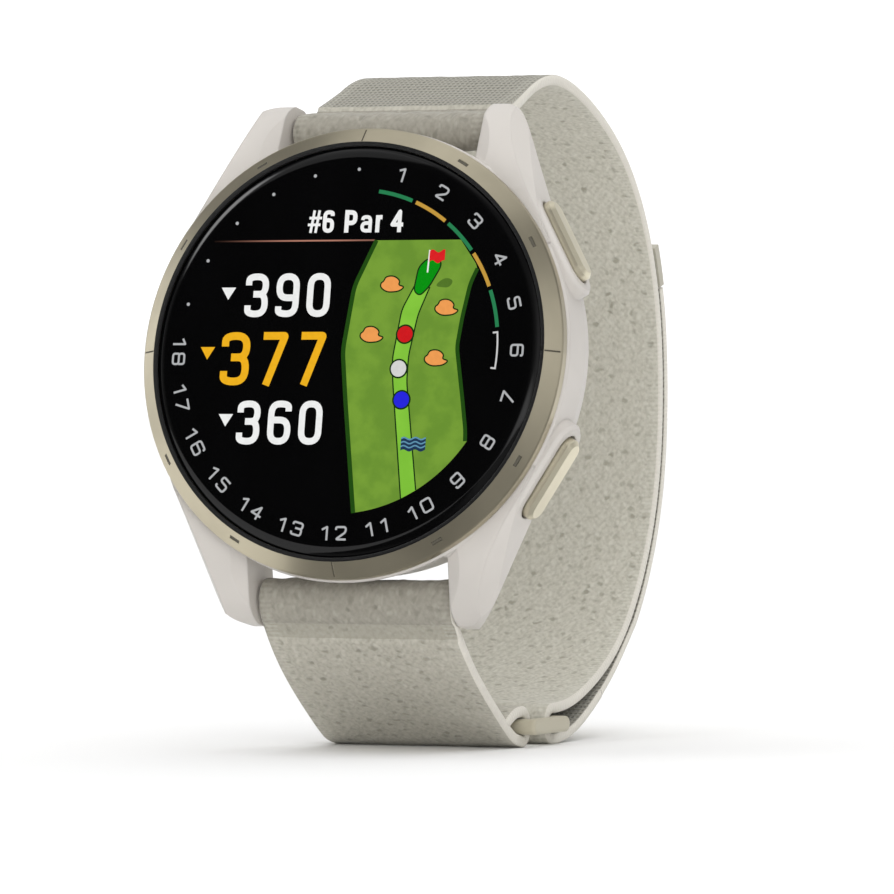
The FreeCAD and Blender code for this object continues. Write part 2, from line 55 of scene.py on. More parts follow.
def paint(red, green, blue):
    """Linear colour with alpha from the 0 to 255 values of a colour card."""
    card = np.array([red, green, blue]) / 255.0
    low = card <= 0.04045
    return (*np.where(low, card / 12.92, ((card + 0.055) / 1.055) ** 2.4), 1.0)


class Field:
    """One socket of a node tree. Arithmetic on fields adds the Math nodes that work it out."""

    def __init__(self, tree, socket=None):
        self.tree, self.socket = tree, socket

    def add(self, kind, settings=(), inputs=(), output=0):
        """Any other node: its settings first, then the values or links of its sockets."""
        made = self.tree.nodes.new("ShaderNode" + kind)
        for name, value in dict(settings).items():
            setattr(made, name, value)
        for name, value in dict(inputs).items():
            if isinstance(value, Field):
                self.tree.links.new(value.socket, made.inputs[name])
            else:
                made.inputs[name].default_value = value
        return Field(self.tree, made.outputs[output])

    def maths(self, operation, *others):
        inputs = {0: self, **{n + 1: other for n, other in enumerate(others)}}
        return self.add("Math", {"operation": operation}, inputs)

    def __add__(self, other):
        return self.maths("ADD", other)

    def __sub__(self, other):
        return self.maths("SUBTRACT", other)

    def __mul__(self, other):
        return self.maths("MULTIPLY", other)

    def __rsub__(self, other):
        return self * -1.0 + other

    def __gt__(self, other):
        return self.maths("GREATER_THAN", other)

    def __lt__(self, other):
        return self.maths("LESS_THAN", other)

    __radd__, __rmul__ = __add__, __mul__

    def sine(self, pitch):
        """Wave from -1 to 1 that repeats every pitch."""
        return (self * (2 * math.pi / pitch)).maths("SINE")

    def step(self, start, end):
        """0 before start, 1 past end, and an eased slope between them."""
        settings = {"interpolation_type": "SMOOTHSTEP"}
        return self.add("MapRange", settings, {"Value": self, "From Min": start, "From Max": end})

    def noise(self, scale, detail=2.0, output="Fac"):
        """Cloudy noise read at this vector; scale is in cells per unit."""
        inputs = {"Vector": self, "Scale": scale, "Detail": detail}
        return self.add("TexNoise", (), inputs, output)

    def cells(self, randomness):
        """Distance from this vector to the nearest of scattered points, one in each unit cell."""
        inputs = {"Vector": self, "Scale": 1.0, "Randomness": randomness}
        return self.add("TexVoronoi", {"feature": "F1"}, inputs, "Distance")

    def stretch(self, x, y, z=1.0):
        """This vector with each axis multiplied."""
        return self.add("VectorMath", {"operation": "MULTIPLY"}, {0: self, 1: (x, y, z)})

    def axis(self, name):
        return self.add("SeparateXYZ", (), {"Vector": self}, name)

    def between(self, one, two):
        """Colour one where this mask is 0, and two where it is 1."""
        return self.add("Mix", {"data_type": "RGBA"}, {0: self, 6: one, 7: two}, 2)

    def bump(self, depth, strength=1.0, normal=None):
        """Surface normal of this height, whose full range is depth metres."""
        inputs = {"Height": self, "Distance": depth, "Strength": strength}
        if normal is not None:
            inputs["Normal"] = normal
        return self.add("Bump", (), inputs, "Normal")


def material(name, surface, read="Object"):
    """Material whose Principled sockets are what surface gives for the place on the piece."""
    made = bpy.data.materials.new(name)
    made.use_nodes = True
    start = Field(made.node_tree)
    place = start.add("TexCoord", (), (), read)
    shader = made.node_tree.nodes["Principled BSDF"]
    for socket, value in surface(place).items():
        if isinstance(value, Field):
            made.node_tree.links.new(value.socket, shader.inputs[socket])
        else:
            shader.inputs[socket].default_value = value
    return made


def moulded(colour, roughness, grain=4200.0, depth=0.000012, edge=0.00012):
    """Moulded polymer: close grain, faint flow clouds in the colour, and softly broken edges."""
    def surface(place):
        broken = place.add("Bevel", {"samples": 4}, {"Radius": edge}, "Normal")
        clouds = place.noise(90.0, 3.0)
        fine = place.noise(grain, 2.0)
        light = paint(*(min(255, c * 1.015 + 1) for c in colour))
        dark = paint(*(c * 0.985 for c in colour))
        return {"Base Color": clouds.step(0.35, 0.65).between(dark, light),
                "Roughness": fine * 0.12 + (roughness - 0.06),
                "Normal": fine.bump(depth, 0.5, broken),
                "Sheen Weight": 0.05, "Specular IOR Level": 0.42}
    return surface


def finish_node(made, *names):
    """Gives carried CAD nodes their material."""
    for name in names:
        node[name].data.materials.clear()
        node[name].data.materials.append(made)


finish_node(material("ivory_polymer", moulded(IVORY, 0.42, edge=0.0003)), "case_shell")
finish_node(material("cover_polymer", moulded((184, 180, 174), 0.5)), "rear_cover")

# ---- Bezel and button caps ------------------------------------------------------------------
# Aluminium turned to a shallow cone, blasted fine and anodised champagne, with engraved marks.
# The two caps are cut from the same stock and anodised with it; their finish is a lighter, less metallic
# copy of the bezel's, as a painted highlight.
CHAMPAGNE = (188, 180, 158)


def anodised(colour, roughness, metallic=1.0):
    """Blasted and anodised aluminium: sparkling fine grain and faint streaks of the turning."""
    def surface(place):
        broken = place.add("Bevel", {"samples": 4}, {"Radius": 0.00008}, "Normal")
        grain = place.noise(9000.0, 1.0)
        patches = place.noise(160.0, 3.0)
        light = paint(*(min(255, c * 1.03) for c in colour))
        dark = paint(*(c * 0.96 for c in colour))
        return {"Base Color": patches.step(0.3, 0.7).between(dark, light),
                "Metallic": metallic, "Roughness": grain * 0.06 + (roughness - 0.03),
                "Normal": grain.bump(0.0000015, 0.3, broken)}
    return surface


finish_node(material("champagne_metal", anodised(CHAMPAGNE, 0.30)), "bezel_ring")
# Painted highlight: the caps take a lighter, less metallic copy of the champagne metal.
finish_node(material("cap_metal_painted_highlight", anodised((212, 205, 182), 0.32, 0.72)),
            "upper_button_cap", "lower_button_cap")

TILT = math.radians(10.0)
DIAL = np.array([-0.164, -26.188, 37.204])      # dial centre, mm


def from_dial(points):
    """Points in mm, x to 3 o'clock, y to 12 o'clock and z out of the glass, in the shared frame."""
    x, y, z = np.moveaxis(np.asarray(points, float), -1, 0)
    back = y * math.sin(TILT) - z * math.cos(TILT)
    up = y * math.cos(TILT) + z * math.sin(TILT)
    return (np.stack([x, back, up], -1) + DIAL) * MM


def solid(name, sheets, look, body, uv=None, smooth=True):
    """Piece made of closed grids.

    Each sheet is an array of rows of points, where a row is closed on itself, and the first and
    last rows are closed with a flat cap. uv gives each sheet's own two coordinates.
    """
    points, faces, coordinates, count = [], [], [], 0
    for number, sheet in enumerate(sheets):
        rows, across = sheet.shape[:2]
        corner = np.arange(rows * across).reshape(rows, across) + count
        after = np.roll(corner, -1, axis=1)
        quads = np.stack([corner[:-1], corner[1:], after[1:], after[:-1]], -1).reshape(-1, 4)
        faces += quads.tolist() + [corner[0].tolist(), corner[-1][::-1].tolist()]
        points.append(sheet.reshape(-1, 3))
        count += rows * across
        if uv is not None:
            u, v = uv[number][..., 0], uv[number][..., 1]
            v_next = np.concatenate([v[:, 1:], v[:, -1:] + v[:, 1:2] - v[:, 0:1]], axis=1)
            pairs = [np.stack([u[:-1], v[:-1]], -1), np.stack([u[1:], v[1:]], -1),
                     np.stack([u[1:], v_next[1:]], -1), np.stack([u[:-1], v_next[:-1]], -1)]
            coordinates.append(np.stack(pairs, 2).reshape(-1, 2))
            coordinates.append(uv[number][0])
            coordinates.append(uv[number][-1][::-1])
    mesh = bpy.data.meshes.new(name)
    mesh.from_pydata(np.concatenate(points).tolist(), [], faces)
    if uv is not None:
        layer = mesh.uv_layers.new(name="cloth")
        layer.data.foreach_set("uv", np.concatenate(coordinates).astype(np.float32).ravel())
    mesh.polygons.foreach_set("use_smooth", [smooth] * len(mesh.polygons))
    mesh.materials.append(look)
    piece = bpy.data.objects.new(name, mesh)
    bpy.context.scene.collection.objects.link(piece)
    if body is not None:
        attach(piece, body)
    return piece


# The bezel's engraved marks are made darker by flat dark tiles laid inside them on its cone.
CONE_SLOPE = math.atan2(0.96, 1.36)
CONE_RADIUS, CONE_HEIGHT = 20.3, -0.36          # middle of the cone's face, mm
QUARTER_MARK, HOUR_MARK = (0.75, 0.065), (0.165, 0.55)     # half length outwards, half width
mark_tiles = []
for hour in range(12):
    angle = math.radians(30 * hour)
    half_length, half_width = QUARTER_MARK if hour % 3 == 0 else HOUR_MARK
    outwards = half_length * np.array([-1, 1, 1, -1])
    aside = half_width * np.array([-1, -1, 1, 1])
    layers = []
    for depth in (-0.035, -0.068):
        radius = CONE_RADIUS + outwards * math.cos(CONE_SLOPE) + depth * math.sin(CONE_SLOPE)
        height = CONE_HEIGHT - outwards * math.sin(CONE_SLOPE) + depth * math.cos(CONE_SLOPE)
        layers.append(np.column_stack([radius * math.cos(angle) - aside * math.sin(angle),
                                       radius * math.sin(angle) + aside * math.cos(angle), height]))
    mark_tiles.append(from_dial(np.stack(layers)))
solid("mark_fills", mark_tiles, material("mark_dark", moulded((82, 78, 66), 0.5)), "case",
      smooth=False)

# ---- Cover glass, printed numbers and screen ---------------------------------------------------
# Toughened glass with a black printed border, polished, over a black display panel. The border's
# hole numbers are screen printed in light grey and glow as painted light; the screen shows a golf
# hole and three distances.
PRINT_FACE = 0.154                              # the first print stands this far above the centre
LAYER = 0.012                                   # height of one printed layer, mm


def tile(outline, layer, base=0):
    """Flat tile on the glass: an outline of x, y, carried from one print layer up to another."""
    outline = np.asarray(outline, float)
    following = np.roll(outline, -1, 0)
    area = np.sum(outline[:, 0] * following[:, 1] - following[:, 0] * outline[:, 1])
    if area < 0:
        outline = outline[::-1]
    low = np.full(len(outline), PRINT_FACE + LAYER * base)
    high = np.full(len(outline), PRINT_FACE + LAYER * layer)
    rings = [np.column_stack([outline, high]), np.column_stack([outline, low])]
    return from_dial(np.stack(rings))


def ribbon(line, width, layer=1, closed=False, base=0):
    """Flat stroke of one width along a line.

    Each side is the line moved half the width along the mitred normal of its two neighbours.
    """
    line = np.asarray(line, float)
    ahead = np.roll(line, -1, 0) - line
    if not closed:
        ahead[-1] = ahead[-2]
    ahead /= np.linalg.norm(ahead, axis=1)[:, None]
    before = np.roll(ahead, 1, 0)
    if not closed:
        before[0] = ahead[0]
    normal = np.stack([-(ahead + before)[:, 1], (ahead + before)[:, 0]], -1)
    normal *= (2 / np.maximum(np.sum(normal ** 2, 1), 0.3))[:, None]
    left, right = line + normal * width / 2, line - normal * width / 2
    if closed:
        left, right = np.vstack([left, left[:1]]), np.vstack([right, right[:1]])
    z_low, z_high = (PRINT_FACE + LAYER * level for level in (base, layer))
    rows = [np.column_stack([side, np.full(len(side), z)])
            for side, z in ((left, z_low), (right, z_low), (right, z_high), (left, z_high))]
    return from_dial(np.stack(rows, 1))[::-1]


def bent(points, radius, parts=7, closed=False):
    """Straight runs joined by quadratic bends: each corner is cut back by radius on both sides."""
    points = np.asarray(points, float)
    made = []
    for n, here in enumerate(points):
        if not closed and n in (0, len(points) - 1):
            made.append(here[None])
            continue
        one, two = points[n - 1] - here, points[(n + 1) % len(points)] - here
        cut = [min(radius, 0.499 * np.linalg.norm(arm)) * arm / np.linalg.norm(arm)
               for arm in (one, two)]
        t = np.linspace(0, 1, parts)[:, None]
        made.append(here + (1 - t) ** 2 * cut[0] + t ** 2 * cut[1])
    return np.concatenate(made)


# Strokes of each figure in a box one high, with the width of the stroke's middle line as 1 across.
FIGURES = {
    "0": [([(0, 0), (1, 0), (1, 1), (0, 1)], True)],
    "1": [([(0.1, 0.78), (0.62, 1), (0.62, 0)], False)],
    "2": [([(0, 0.76), (0, 1), (1, 1), (1, 0.58), (0, 0.0), (1.05, 0)], False)],
    "3": [([(0, 0.77), (0, 1), (1, 1), (1, 0.53), (0.3, 0.53)], False),
          ([(0.3, 0.53), (1, 0.53), (1, 0), (0, 0), (0, 0.23)], False)],
    "4": [([(0.72, 0), (0.72, 1), (0, 0.3), (1.1, 0.3)], False)],
    "5": [([(1, 1), (0.05, 1), (0.05, 0.58), (1, 0.58), (1, 0), (0, 0), (0, 0.2)], False)],
    "6": [([(1, 0.8), (1, 1), (0, 1), (0, 0), (1, 0), (1, 0.57), (0.04, 0.57)], False)],
    "7": [([(0, 1), (1, 1), (0.3, 0)], False)],
    "8": [([(0, 0.5), (0, 0), (1, 0), (1, 0.52), (0, 0.52), (0, 1), (1, 1), (1, 0.52)], False),
          ([(0, 0.3), (0, 0.52), (0.5, 0.52)], False)],
    "9": [([(0, 0.2), (0, 0), (1, 0), (1, 1), (0, 1), (0, 0.43), (0.96, 0.43)], False)],
    "#": [([(0.28, 0), (0.5, 1)], False), ([(0.72, 0), (0.94, 1)], False),
          ([(0, 0.34), (1.1, 0.34)], False), ([(0.1, 0.68), (1.2, 0.68)], False)],
    "P": [([(0.06, 0), (0.06, 1)], False),
          ([(-0.1, 0.99), (1, 0.99), (1, 0.41), (0.06, 0.41)], False)],
    "a": [([(0.04, 0.56), (0.1, 0.72), (0.92, 0.72), (0.92, 0)], False),
          ([(0.9, 0.4), (0.02, 0.4), (0.02, 0), (0.9, 0)], False)],
    "r": [([(0.1, 0), (0.1, 0.82)], False), ([(0.1, 0.42), (0.2, 0.71), (0.84, 0.71)], False)],
}
# Signs with sharp corners: their bend is this share of their height.
SHARP = {"1": 0.02, "2": 0.2, "4": 0.02, "7": 0.03, "#": 0.02, "r": 0.12}


def figure(sign, height, across, weight, bend, place):
    """Strokes of one figure; place turns its own x, y in mm into the dial's.

    A stroke that ends upright on the foot or head line runs on by half its weight.
    """
    made = []
    for points, closed in FIGURES[sign]:
        scale = np.array([across, height - weight])
        start = np.array([weight / 2, weight / 2])
        line = np.array(points) * scale + start
        radius = bend if sign not in SHARP else SHARP[sign] * height
        if not closed:
            for end, inner in ((0, 1), (-1, -2)):
                step = line[end] - line[inner]
                if points[end][1] in (0, 1) and abs(step[1]) > abs(step[0]):
                    line[end] += step * (weight / 2 / abs(step[1]))
        line = place(bent(line, radius, closed=closed))
        made.append(ribbon(line, weight, layer=2, closed=closed))
    return made


def written(text, x, y, height, across, weight, gap, bend):
    """A line of figures that starts at x, y; gap is the clear space between two of them."""
    made = []
    for sign in text:
        if sign == " ":
            x += across * 0.7
            continue
        made += figure(sign, height, across, weight, bend, lambda points: points + np.array([x, y]))
        x += across + weight + gap
    return made


def lit(colour, glow=1.0):
    """Part that gives light: its own colour, with a faint grain. The screen's parts use it, and so do
    the border's printed numbers, whose glow is painted light.
    """
    def surface(place):
        grain = place.noise(2500.0, 2.0)
        shade = grain.step(0.3, 0.7).between(paint(*(c * 0.97 for c in colour)), paint(*colour))
        return {"Base Color": (0.002, 0.002, 0.002, 1), "Emission Color": shade,
                "Emission Strength": glow, "Roughness": 0.25, "Specular IOR Level": 0.2}
    return surface


def polished_black(place):
    """Black printed glass: a hard polish with barely visible wipe marks."""
    wipe = place.stretch(1, 1, 0.25).noise(260.0, 3.0)
    return {"Base Color": wipe.between((0.0012, 0.0012, 0.0013, 1), (0.0022, 0.0022, 0.0024, 1)),
            "Roughness": wipe * 0.05 + 0.05, "Specular IOR Level": 0.32}


finish_node(material("polished_glass", polished_black), "cover_glass")

# A black ring laid over the bezel's inner chamfer is a painted shadow: the dark line between glass and
# bezel. Its section is radius and height, then turned.
RIM_SHADOW_SECTION = np.array([(19.24, -0.2), (19.25, 0.03), (19.3, 0.05), (19.62, 0.155), (19.64, 0.1), (19.3, -0.02)])
round_rim = np.linspace(0, 2 * np.pi, 181)[:, None]
painted_rim_shadow = np.stack([RIM_SHADOW_SECTION[:, 0] * np.cos(round_rim), RIM_SHADOW_SECTION[:, 0] * np.sin(round_rim),
                     np.broadcast_to(RIM_SHADOW_SECTION[:, 1], (len(round_rim), len(RIM_SHADOW_SECTION)))], -1)
solid("painted_rim_shadow", [from_dial(painted_rim_shadow)], material("rim_painted_shadow", moulded((9, 9, 9), 0.6)), "case")

# Hole numbers stand round the border, every 15 degrees; past 6 they are read from the middle.
PRINT = (196, 198, 200)
NUMBER_RADIUS, NUMBER_HEIGHT = 17.0, 1.34
across, weight, gap = 0.98, 0.19, 0.34
marks = []
for hole in range(1, 19):
    text = str(hole)
    angle = math.radians(15.0 * hole)
    flip = 1.0 if hole < 7 else -1.0
    outward = np.array([math.sin(angle), math.cos(angle)])
    along = np.array([outward[1], -outward[0]])
    total = len(text) * (across + weight) + (len(text) - 1) * gap

    def round_dial(points, start):
        """Points of a figure that starts so far along its number, turned onto the dial."""
        shift = points + np.array([start - total / 2, -NUMBER_HEIGHT / 2])
        return (shift[:, :1] * along + shift[:, 1:] * outward) * flip + outward * NUMBER_RADIUS

    for count, sign in enumerate(text):
        start = count * (across + weight + gap)
        marks += figure(sign, NUMBER_HEIGHT, across, weight, 0.24,
                        lambda points: round_dial(points, start))


def dot(x, y, radius, layer=1, base=0):
    """Flat disc round x, y."""
    angle = np.linspace(0, 2 * np.pi, 28, endpoint=False)
    return tile(np.column_stack([x + radius * np.cos(angle), y + radius * np.sin(angle)]), layer, base)


# Dots fill the part of the border that has no numbers.
for place in range(19, 25):
    angle = math.radians(15.0 * place)
    marks.append(dot(NUMBER_RADIUS * math.sin(angle), NUMBER_RADIUS * math.cos(angle), 0.16))
# Painted light: the printed numbers and dots glow, though print gives no light.
solid("dial_numbers", marks, material("number_print_glow", lit(PRINT, 0.8)), "case",
      smooth=False)

WHITE, GOLD = (240, 241, 240), (240, 178, 28)
# Each sign of the heading: where it starts, its width and the weight of its strokes.
HEADING = (("#", -4.92, 1.4, 0.25), ("6", -3.3, 1.14, 0.38), ("P", -1.14, 1.3, 0.42),
           ("a", 0.52, 1.22, 0.34), ("r", 1.98, 1.0, 0.40), ("4", 3.54, 1.36, 0.38))
white_figures = []
for sign, x, width, weight in HEADING:
    white_figures += written(sign, x, 11.05, 2.12, width - weight, weight, 0, 0.42)
white_figures += written("390", -10.65, 3.15, 4.12, 1.72, 0.62, 0.80, 0.95)
white_figures += written("360", -10.55, -8.8, 4.12, 1.72, 0.62, 0.80, 0.95)
white_figures += [tile([(-13.1, 5.95), (-11.65, 5.95), (-12.37, 4.8)], 2),
                  tile([(-12.45, -5.95), (-11.0, -5.95), (-11.72, -7.1)], 2)]
gold_figures = written("377", -12.65, -3.25, 5.0, 2.18, 0.72, 0.94, 1.1)
gold_figures += [tile([(-14.8, 0.35), (-13.35, 0.35), (-14.07, -0.82)], 2)]
solid("screen_white_figures", white_figures, material("white_light", lit(WHITE)), "case",
      smooth=False)
solid("screen_gold_figures", gold_figures, material("gold_light", lit(GOLD)), "case",
      smooth=False)


def arc(start, end, radius, parts=24):
    """Line round the dial between two clock angles in degrees."""
    angle = np.radians(np.linspace(start, end, parts))
    return np.column_stack([radius * np.sin(angle), radius * np.cos(angle)])


# A coloured arc stands inside each of the first five numbers, and a bracket inside the sixth.
RING_RADIUS, HALF_ARC, HALF_BRACKET = 15.05, 6.75, 6.4
green_arcs, gold_arcs = ([ribbon(arc(15 * hole - HALF_ARC, 15 * hole + HALF_ARC, RING_RADIUS), 0.36)
                          for hole in holes] for holes in ((1, 3, 5), (2, 4)))
start, end = 90 - HALF_BRACKET, 90 + HALF_BRACKET
bracket = np.vstack([arc(start, start, RING_RADIUS - 0.45, 1), arc(start, end, RING_RADIUS),
                     arc(end, end, RING_RADIUS - 0.45, 1)])
solid("score_ring_green", green_arcs, material("green_light", lit((38, 128, 80))), "case",
      smooth=False)
solid("score_ring_gold", gold_arcs, material("dull_gold_light", lit((196, 152, 62))), "case",
      smooth=False)
solid("score_ring_bracket", [ribbon(bracket, 0.16)], material("grey_light", lit((205, 205, 205))),
      "case", smooth=False)


def faded_line(place):
    """Thin line under the heading, warm in the middle and dark at both ends."""
    x = (place.axis("X") - DIAL[0] * MM) * 1000.0
    bright = x.step(-14.5, -5.0) * (1.0 - x.step(-3.0, 2.2) * 0.45)
    return {"Base Color": (0.002, 0.002, 0.002, 1),
            "Emission Color": bright.between(paint(20, 8, 4), paint(176, 122, 104)),
            "Emission Strength": 1.0, "Roughness": 0.25, "Specular IOR Level": 0.2}


solid("heading_line", [ribbon([(-14.2, 10.32), (2.1, 10.32)], 0.14)],
      material("faded_light", faded_line), "case", smooth=False)

# The hole: rough, a fairway up to the putting green, bunkers, tee marks and a water mark.
SCREEN_RADIUS = 15.2
left_edge = [(2.1, 10.3), (0.2, 6.0), (-0.5, 0.0), (0.1, -4.5), (1.7, -15.12)]
right_edge = [(10.7, 10.3), (12.7, 7.6), (12.1, 6.2), (11.55, 3.2), (11.2, 0.3), (12.1, -4.5),
              (12.6, -7.4), (12.65, -8.42)]
round_edge = arc(123.6, 173.6, SCREEN_RADIUS, 40)
rough = np.vstack([bent(left_edge, 0.8)[::-1], bent(right_edge, 0.8), round_edge])


def turf(colour, blotch, scale):
    """Mown grass on the screen: soft blotches of a darker green."""
    def surface(place):
        cloud = place.noise(scale, 4.0).step(0.36, 0.66)
        return {"Base Color": (0.002, 0.002, 0.002, 1),
                "Emission Color": cloud.between(paint(*blotch), paint(*colour)),
                "Emission Strength": 1.0, "Roughness": 0.25, "Specular IOR Level": 0.2}
    return surface


solid("map_rough", [tile(rough, 1)], material("rough_light", turf((118, 158, 54), (104, 144, 48), 420)),
      "case", smooth=False)
edge_left = bent(left_edge, 0.8) + np.array([0.16, 0])
edge_right = bent(right_edge[1:], 0.6) - np.array([0.16, 0])
solid("map_edge", [ribbon(edge_left, 0.42, 2, base=1), ribbon(edge_right, 0.38, 2, base=1)],
      material("hedge_light", lit((30, 74, 12))), "case", smooth=False)
fair_left = bent([(6.4, 6.0), (5.3, 3.8), (4.7, -0.8), (4.9, -2.9), (6.5, -13.75)], 0.6)
fair_right = bent([(7.95, 5.9), (6.95, 3.3), (6.3, -0.5), (6.3, -2.9), (7.95, -12.95)], 0.6)
fairway = np.vstack([fair_left, fair_right[::-1]])
solid("map_fairway", [tile(fairway, 3, 1)],
      material("fairway_light", turf((134, 200, 62), (124, 190, 56), 300)), "case",
      smooth=False)
dark_lines = [ribbon(fair_left, 0.13, 4, base=3), ribbon(fair_right, 0.13, 4, base=3)]


def blob(x, y, points):
    """Closed rounded outline through corners given from its middle."""
    return bent(np.array(points) + np.array([x, y]), 0.45, 6, closed=True)


green_outline = blob(7.6, 6.9, [(-1.25, -1.35), (-0.6, -1.85), (0.3, -0.95), (1.35, 0.95),
                                (1.2, 1.55), (-0.1, 1.65), (-0.9, 0.85)])
BUNKER = [(-1.2, -0.35), (-0.5, -0.78), (0.7, -0.7), (1.25, -0.25), (0.55, -0.12), (0.75, 0.3),
          (0.1, 0.78), (-0.75, 0.7), (-0.9, 0.25), (-1.2, 0.1)]
bunkers = [blob(x, y, BUNKER) for x, y in ((4.2, 6.2), (9.8, 4.0), (2.5, 1.5), (9.1, -0.7))]
sand = [tile(outline, 3, 1) for outline in bunkers]
dark_lines += [ribbon(outline, 0.13, 4, closed=True, base=2) for outline in bunkers]
dark_lines.append(ribbon(green_outline, 0.13, 6, closed=True, base=3))
solid("map_bunkers", sand, material("sand_light", lit((240, 158, 84))), "case",
      smooth=False)
solid("map_green", [tile(green_outline, 5, 2)], material("green_grass_light", lit((0, 146, 10))),
      "case", smooth=False)
TEES = (("red", 5.8, 1.5, (208, 22, 28)), ("white", 5.4, -1.7, (214, 214, 214)),
        ("blue", 5.9, -4.6, (36, 36, 222)))
for name, x, y, colour in TEES:
    dark_lines.append(dot(x, y, 0.92, 5, base=3))
    solid("tee_" + name, [dot(x, y, 0.76, 6, base=3)], material(name + "_tee_light", lit(colour)),
          "case", smooth=False)

water_x = np.linspace(6.15, 8.6, 25)
wave = 0.1 * np.sin((water_x - 6.15) * 2 * np.pi / 1.15)
pond = np.vstack([np.column_stack([water_x, -8.12 + wave]),
                  np.column_stack([water_x, -9.3 + wave])[::-1]])
solid("map_water", [tile(pond, 5, 2)], material("water_dark_light", lit((28, 52, 84))), "case",
      smooth=False)
solid("map_waves", [ribbon(np.column_stack([water_x, level + wave]), 0.13, 6, base=4)
                    for level in (-8.2, -8.58, -8.95)],
      material("water_light", lit((96, 150, 178))), "case", smooth=False)
flag_x = np.linspace(7.72, 9.25, 17)
flutter = 0.14 * np.sin((flag_x - 7.72) * 2 * np.pi / 1.15)
flag = np.vstack([np.column_stack([flag_x, 9.25 + flutter]),
                  np.column_stack([flag_x, 8.25 + flutter])[::-1]])
solid("map_flag", [tile(flag, 7, 4)], material("flag_light", lit((220, 30, 34))), "case",
      smooth=False)
solid("map_flag_pole", [ribbon([(7.7, 9.35), (7.62, 7.25)], 0.14, 7, base=5)],
      material("pole_light", lit((235, 235, 235))), "case", smooth=False)
solid("map_outlines", dark_lines, material("outline_light", lit((14, 46, 12))), "case",
      smooth=False)
solid("map_shadow", [tile(blob(9.35, 6.3, [(-0.9, -0.35), (0.5, -0.5), (0.95, 0.2), (0.2, 0.5),
                                           (-0.5, 0.15)]), 2, 1)],
      material("shadow_light", lit((82, 118, 38))), "case", smooth=False)

# ---- Strap cloth -------------------------------------------------------------------------------
# Woven nylon strap in heathered greige, 19.6 mm wide, with a bound ivory edge. One length folds
# round the top bar and runs over the wrist; a short one folds round the bottom bar and the ring.
HALF = 9.8
EDGE = 0.24                  # radius of the bound edge
BACK_FACE = 40.0             # where the other face's middle lies in the cloth's own width, mm
UPPER_BAR = np.array([11.108, 20.381])
LOWER_BAR = np.array([3.467, -22.951])
RING_Z = -35.25
FRONT_BAR = np.array([18.8, RING_Z])
REAR_BAR = np.array([26.2, RING_Z])
TURN = 1.45                  # radius of the cloth's middle round a ring bar
FOLD = 1.36                  # radius of the cloth's middle round a spring bar


def spline(points):
    """Natural cubic curve through side-view points, read at even distances along it.

    The curve's parameter is the summed distance between its points, and its second derivatives
    solve the usual tridiagonal system.
    """
    points = np.asarray(points, float)
    t = runs(points)
    h, n = np.diff(t), len(t)
    system, right = np.eye(n), np.zeros((n, 2))
    for k in range(1, n - 1):
        system[k, k - 1:k + 2] = h[k - 1], 2 * (h[k - 1] + h[k]), h[k]
        right[k] = 6 * ((points[k + 1] - points[k]) / h[k] - (points[k] - points[k - 1]) / h[k - 1])
    bend = np.linalg.solve(system, right)
    fine = np.linspace(0, t[-1], int(t[-1] / 0.05))
    k = np.clip(np.searchsorted(t, fine, side="right") - 1, 0, n - 2)
    a, b, w = (t[k + 1] - fine)[:, None], (fine - t[k])[:, None], h[k][:, None]
    curve = (bend[k] * a ** 3 + bend[k + 1] * b ** 3) / (6 * w)
    curve += (points[k] / w - bend[k] * w / 6) * a + (points[k + 1] / w - bend[k + 1] * w / 6) * b
    return evenly(curve)


def runs(line):
    """Distance along a line at each of its points."""
    return np.concatenate([[0], np.cumsum(np.linalg.norm(np.diff(line, axis=0), axis=1))])


def evenly(line, spacing=0.3):
    """The same line read at even distances."""
    run = runs(line)
    even = np.linspace(0, run[-1], max(3, int(round(run[-1] / spacing)) + 1))
    return np.column_stack([np.interp(even, run, line[:, axis]) for axis in (0, 1)])


def normals(line):
    """Unit normal on the left of a line."""
    ahead = np.gradient(line, axis=0)
    ahead /= np.linalg.norm(ahead, axis=1)[:, None]
    return np.column_stack([-ahead[:, 1], ahead[:, 0]])


def bow(centre, radius, start, end):
    """Arc round a side-view centre between two angles in degrees."""
    angle = np.radians(np.linspace(start, end, 40))
    return centre + radius * np.column_stack([np.cos(angle), np.sin(angle)])


def profile(columns=66, corner=6):
    """Section of the cloth: x, share of the half thickness, and the run round the section.

    A flat outer face, a rounded bound edge, the inner face and the other edge, as a closed loop.
    """
    x = np.linspace(-HALF + EDGE, HALF - EDGE, columns)
    round_off = np.linspace(np.pi / 2, -np.pi / 2, corner + 2)[1:-1]
    xs = np.concatenate([x, HALF - EDGE + EDGE * np.cos(round_off), x[::-1],
                         -HALF + EDGE - EDGE * np.cos(round_off)])
    share = np.concatenate([np.ones(columns), np.sin(round_off), -np.ones(columns),
                            -np.sin(round_off)])
    face = np.concatenate([np.ones(columns), np.zeros(corner), -np.ones(columns), np.zeros(corner)])
    rim = HALF + 0.6 * np.linspace(0, 1, corner)
    across = np.concatenate([x, rim, BACK_FACE - x[::-1], BACK_FACE + rim])
    return xs, share, face, across


def row_points(line, xs, offset):
    """Side-view line and a width array to points in the shared frame: rows along, columns across."""
    left = normals(line)
    y = line[:, :1] + left[:, :1] * offset
    z = line[:, 1:] + left[:, 1:] * offset
    x = np.broadcast_to(xs, y.shape)
    return (np.stack([x, y, z], -1) + DIAL) * MM


def cloth(name, line, thick, look, body, relief, start=0.0):
    """Strap cloth along a side-view line: section times thickness, plus relief along its normal.

    relief(run, x, face) gives mm of rise on the outer (1) or inner (-1) face.
    """
    run = runs(line) + start
    xs, share, face, across = profile()
    rise = relief(run[:, None], xs[None], face[None])
    offset = share[None] * thick / 2 + rise * np.sign(share)[None]
    points = row_points(line, xs, offset)
    uv = np.stack(np.broadcast_arrays(run[:, None], across[None]), -1) * MM * 10
    return solid(name, [points[:, ::-1]], look, body, [uv[:, ::-1]])


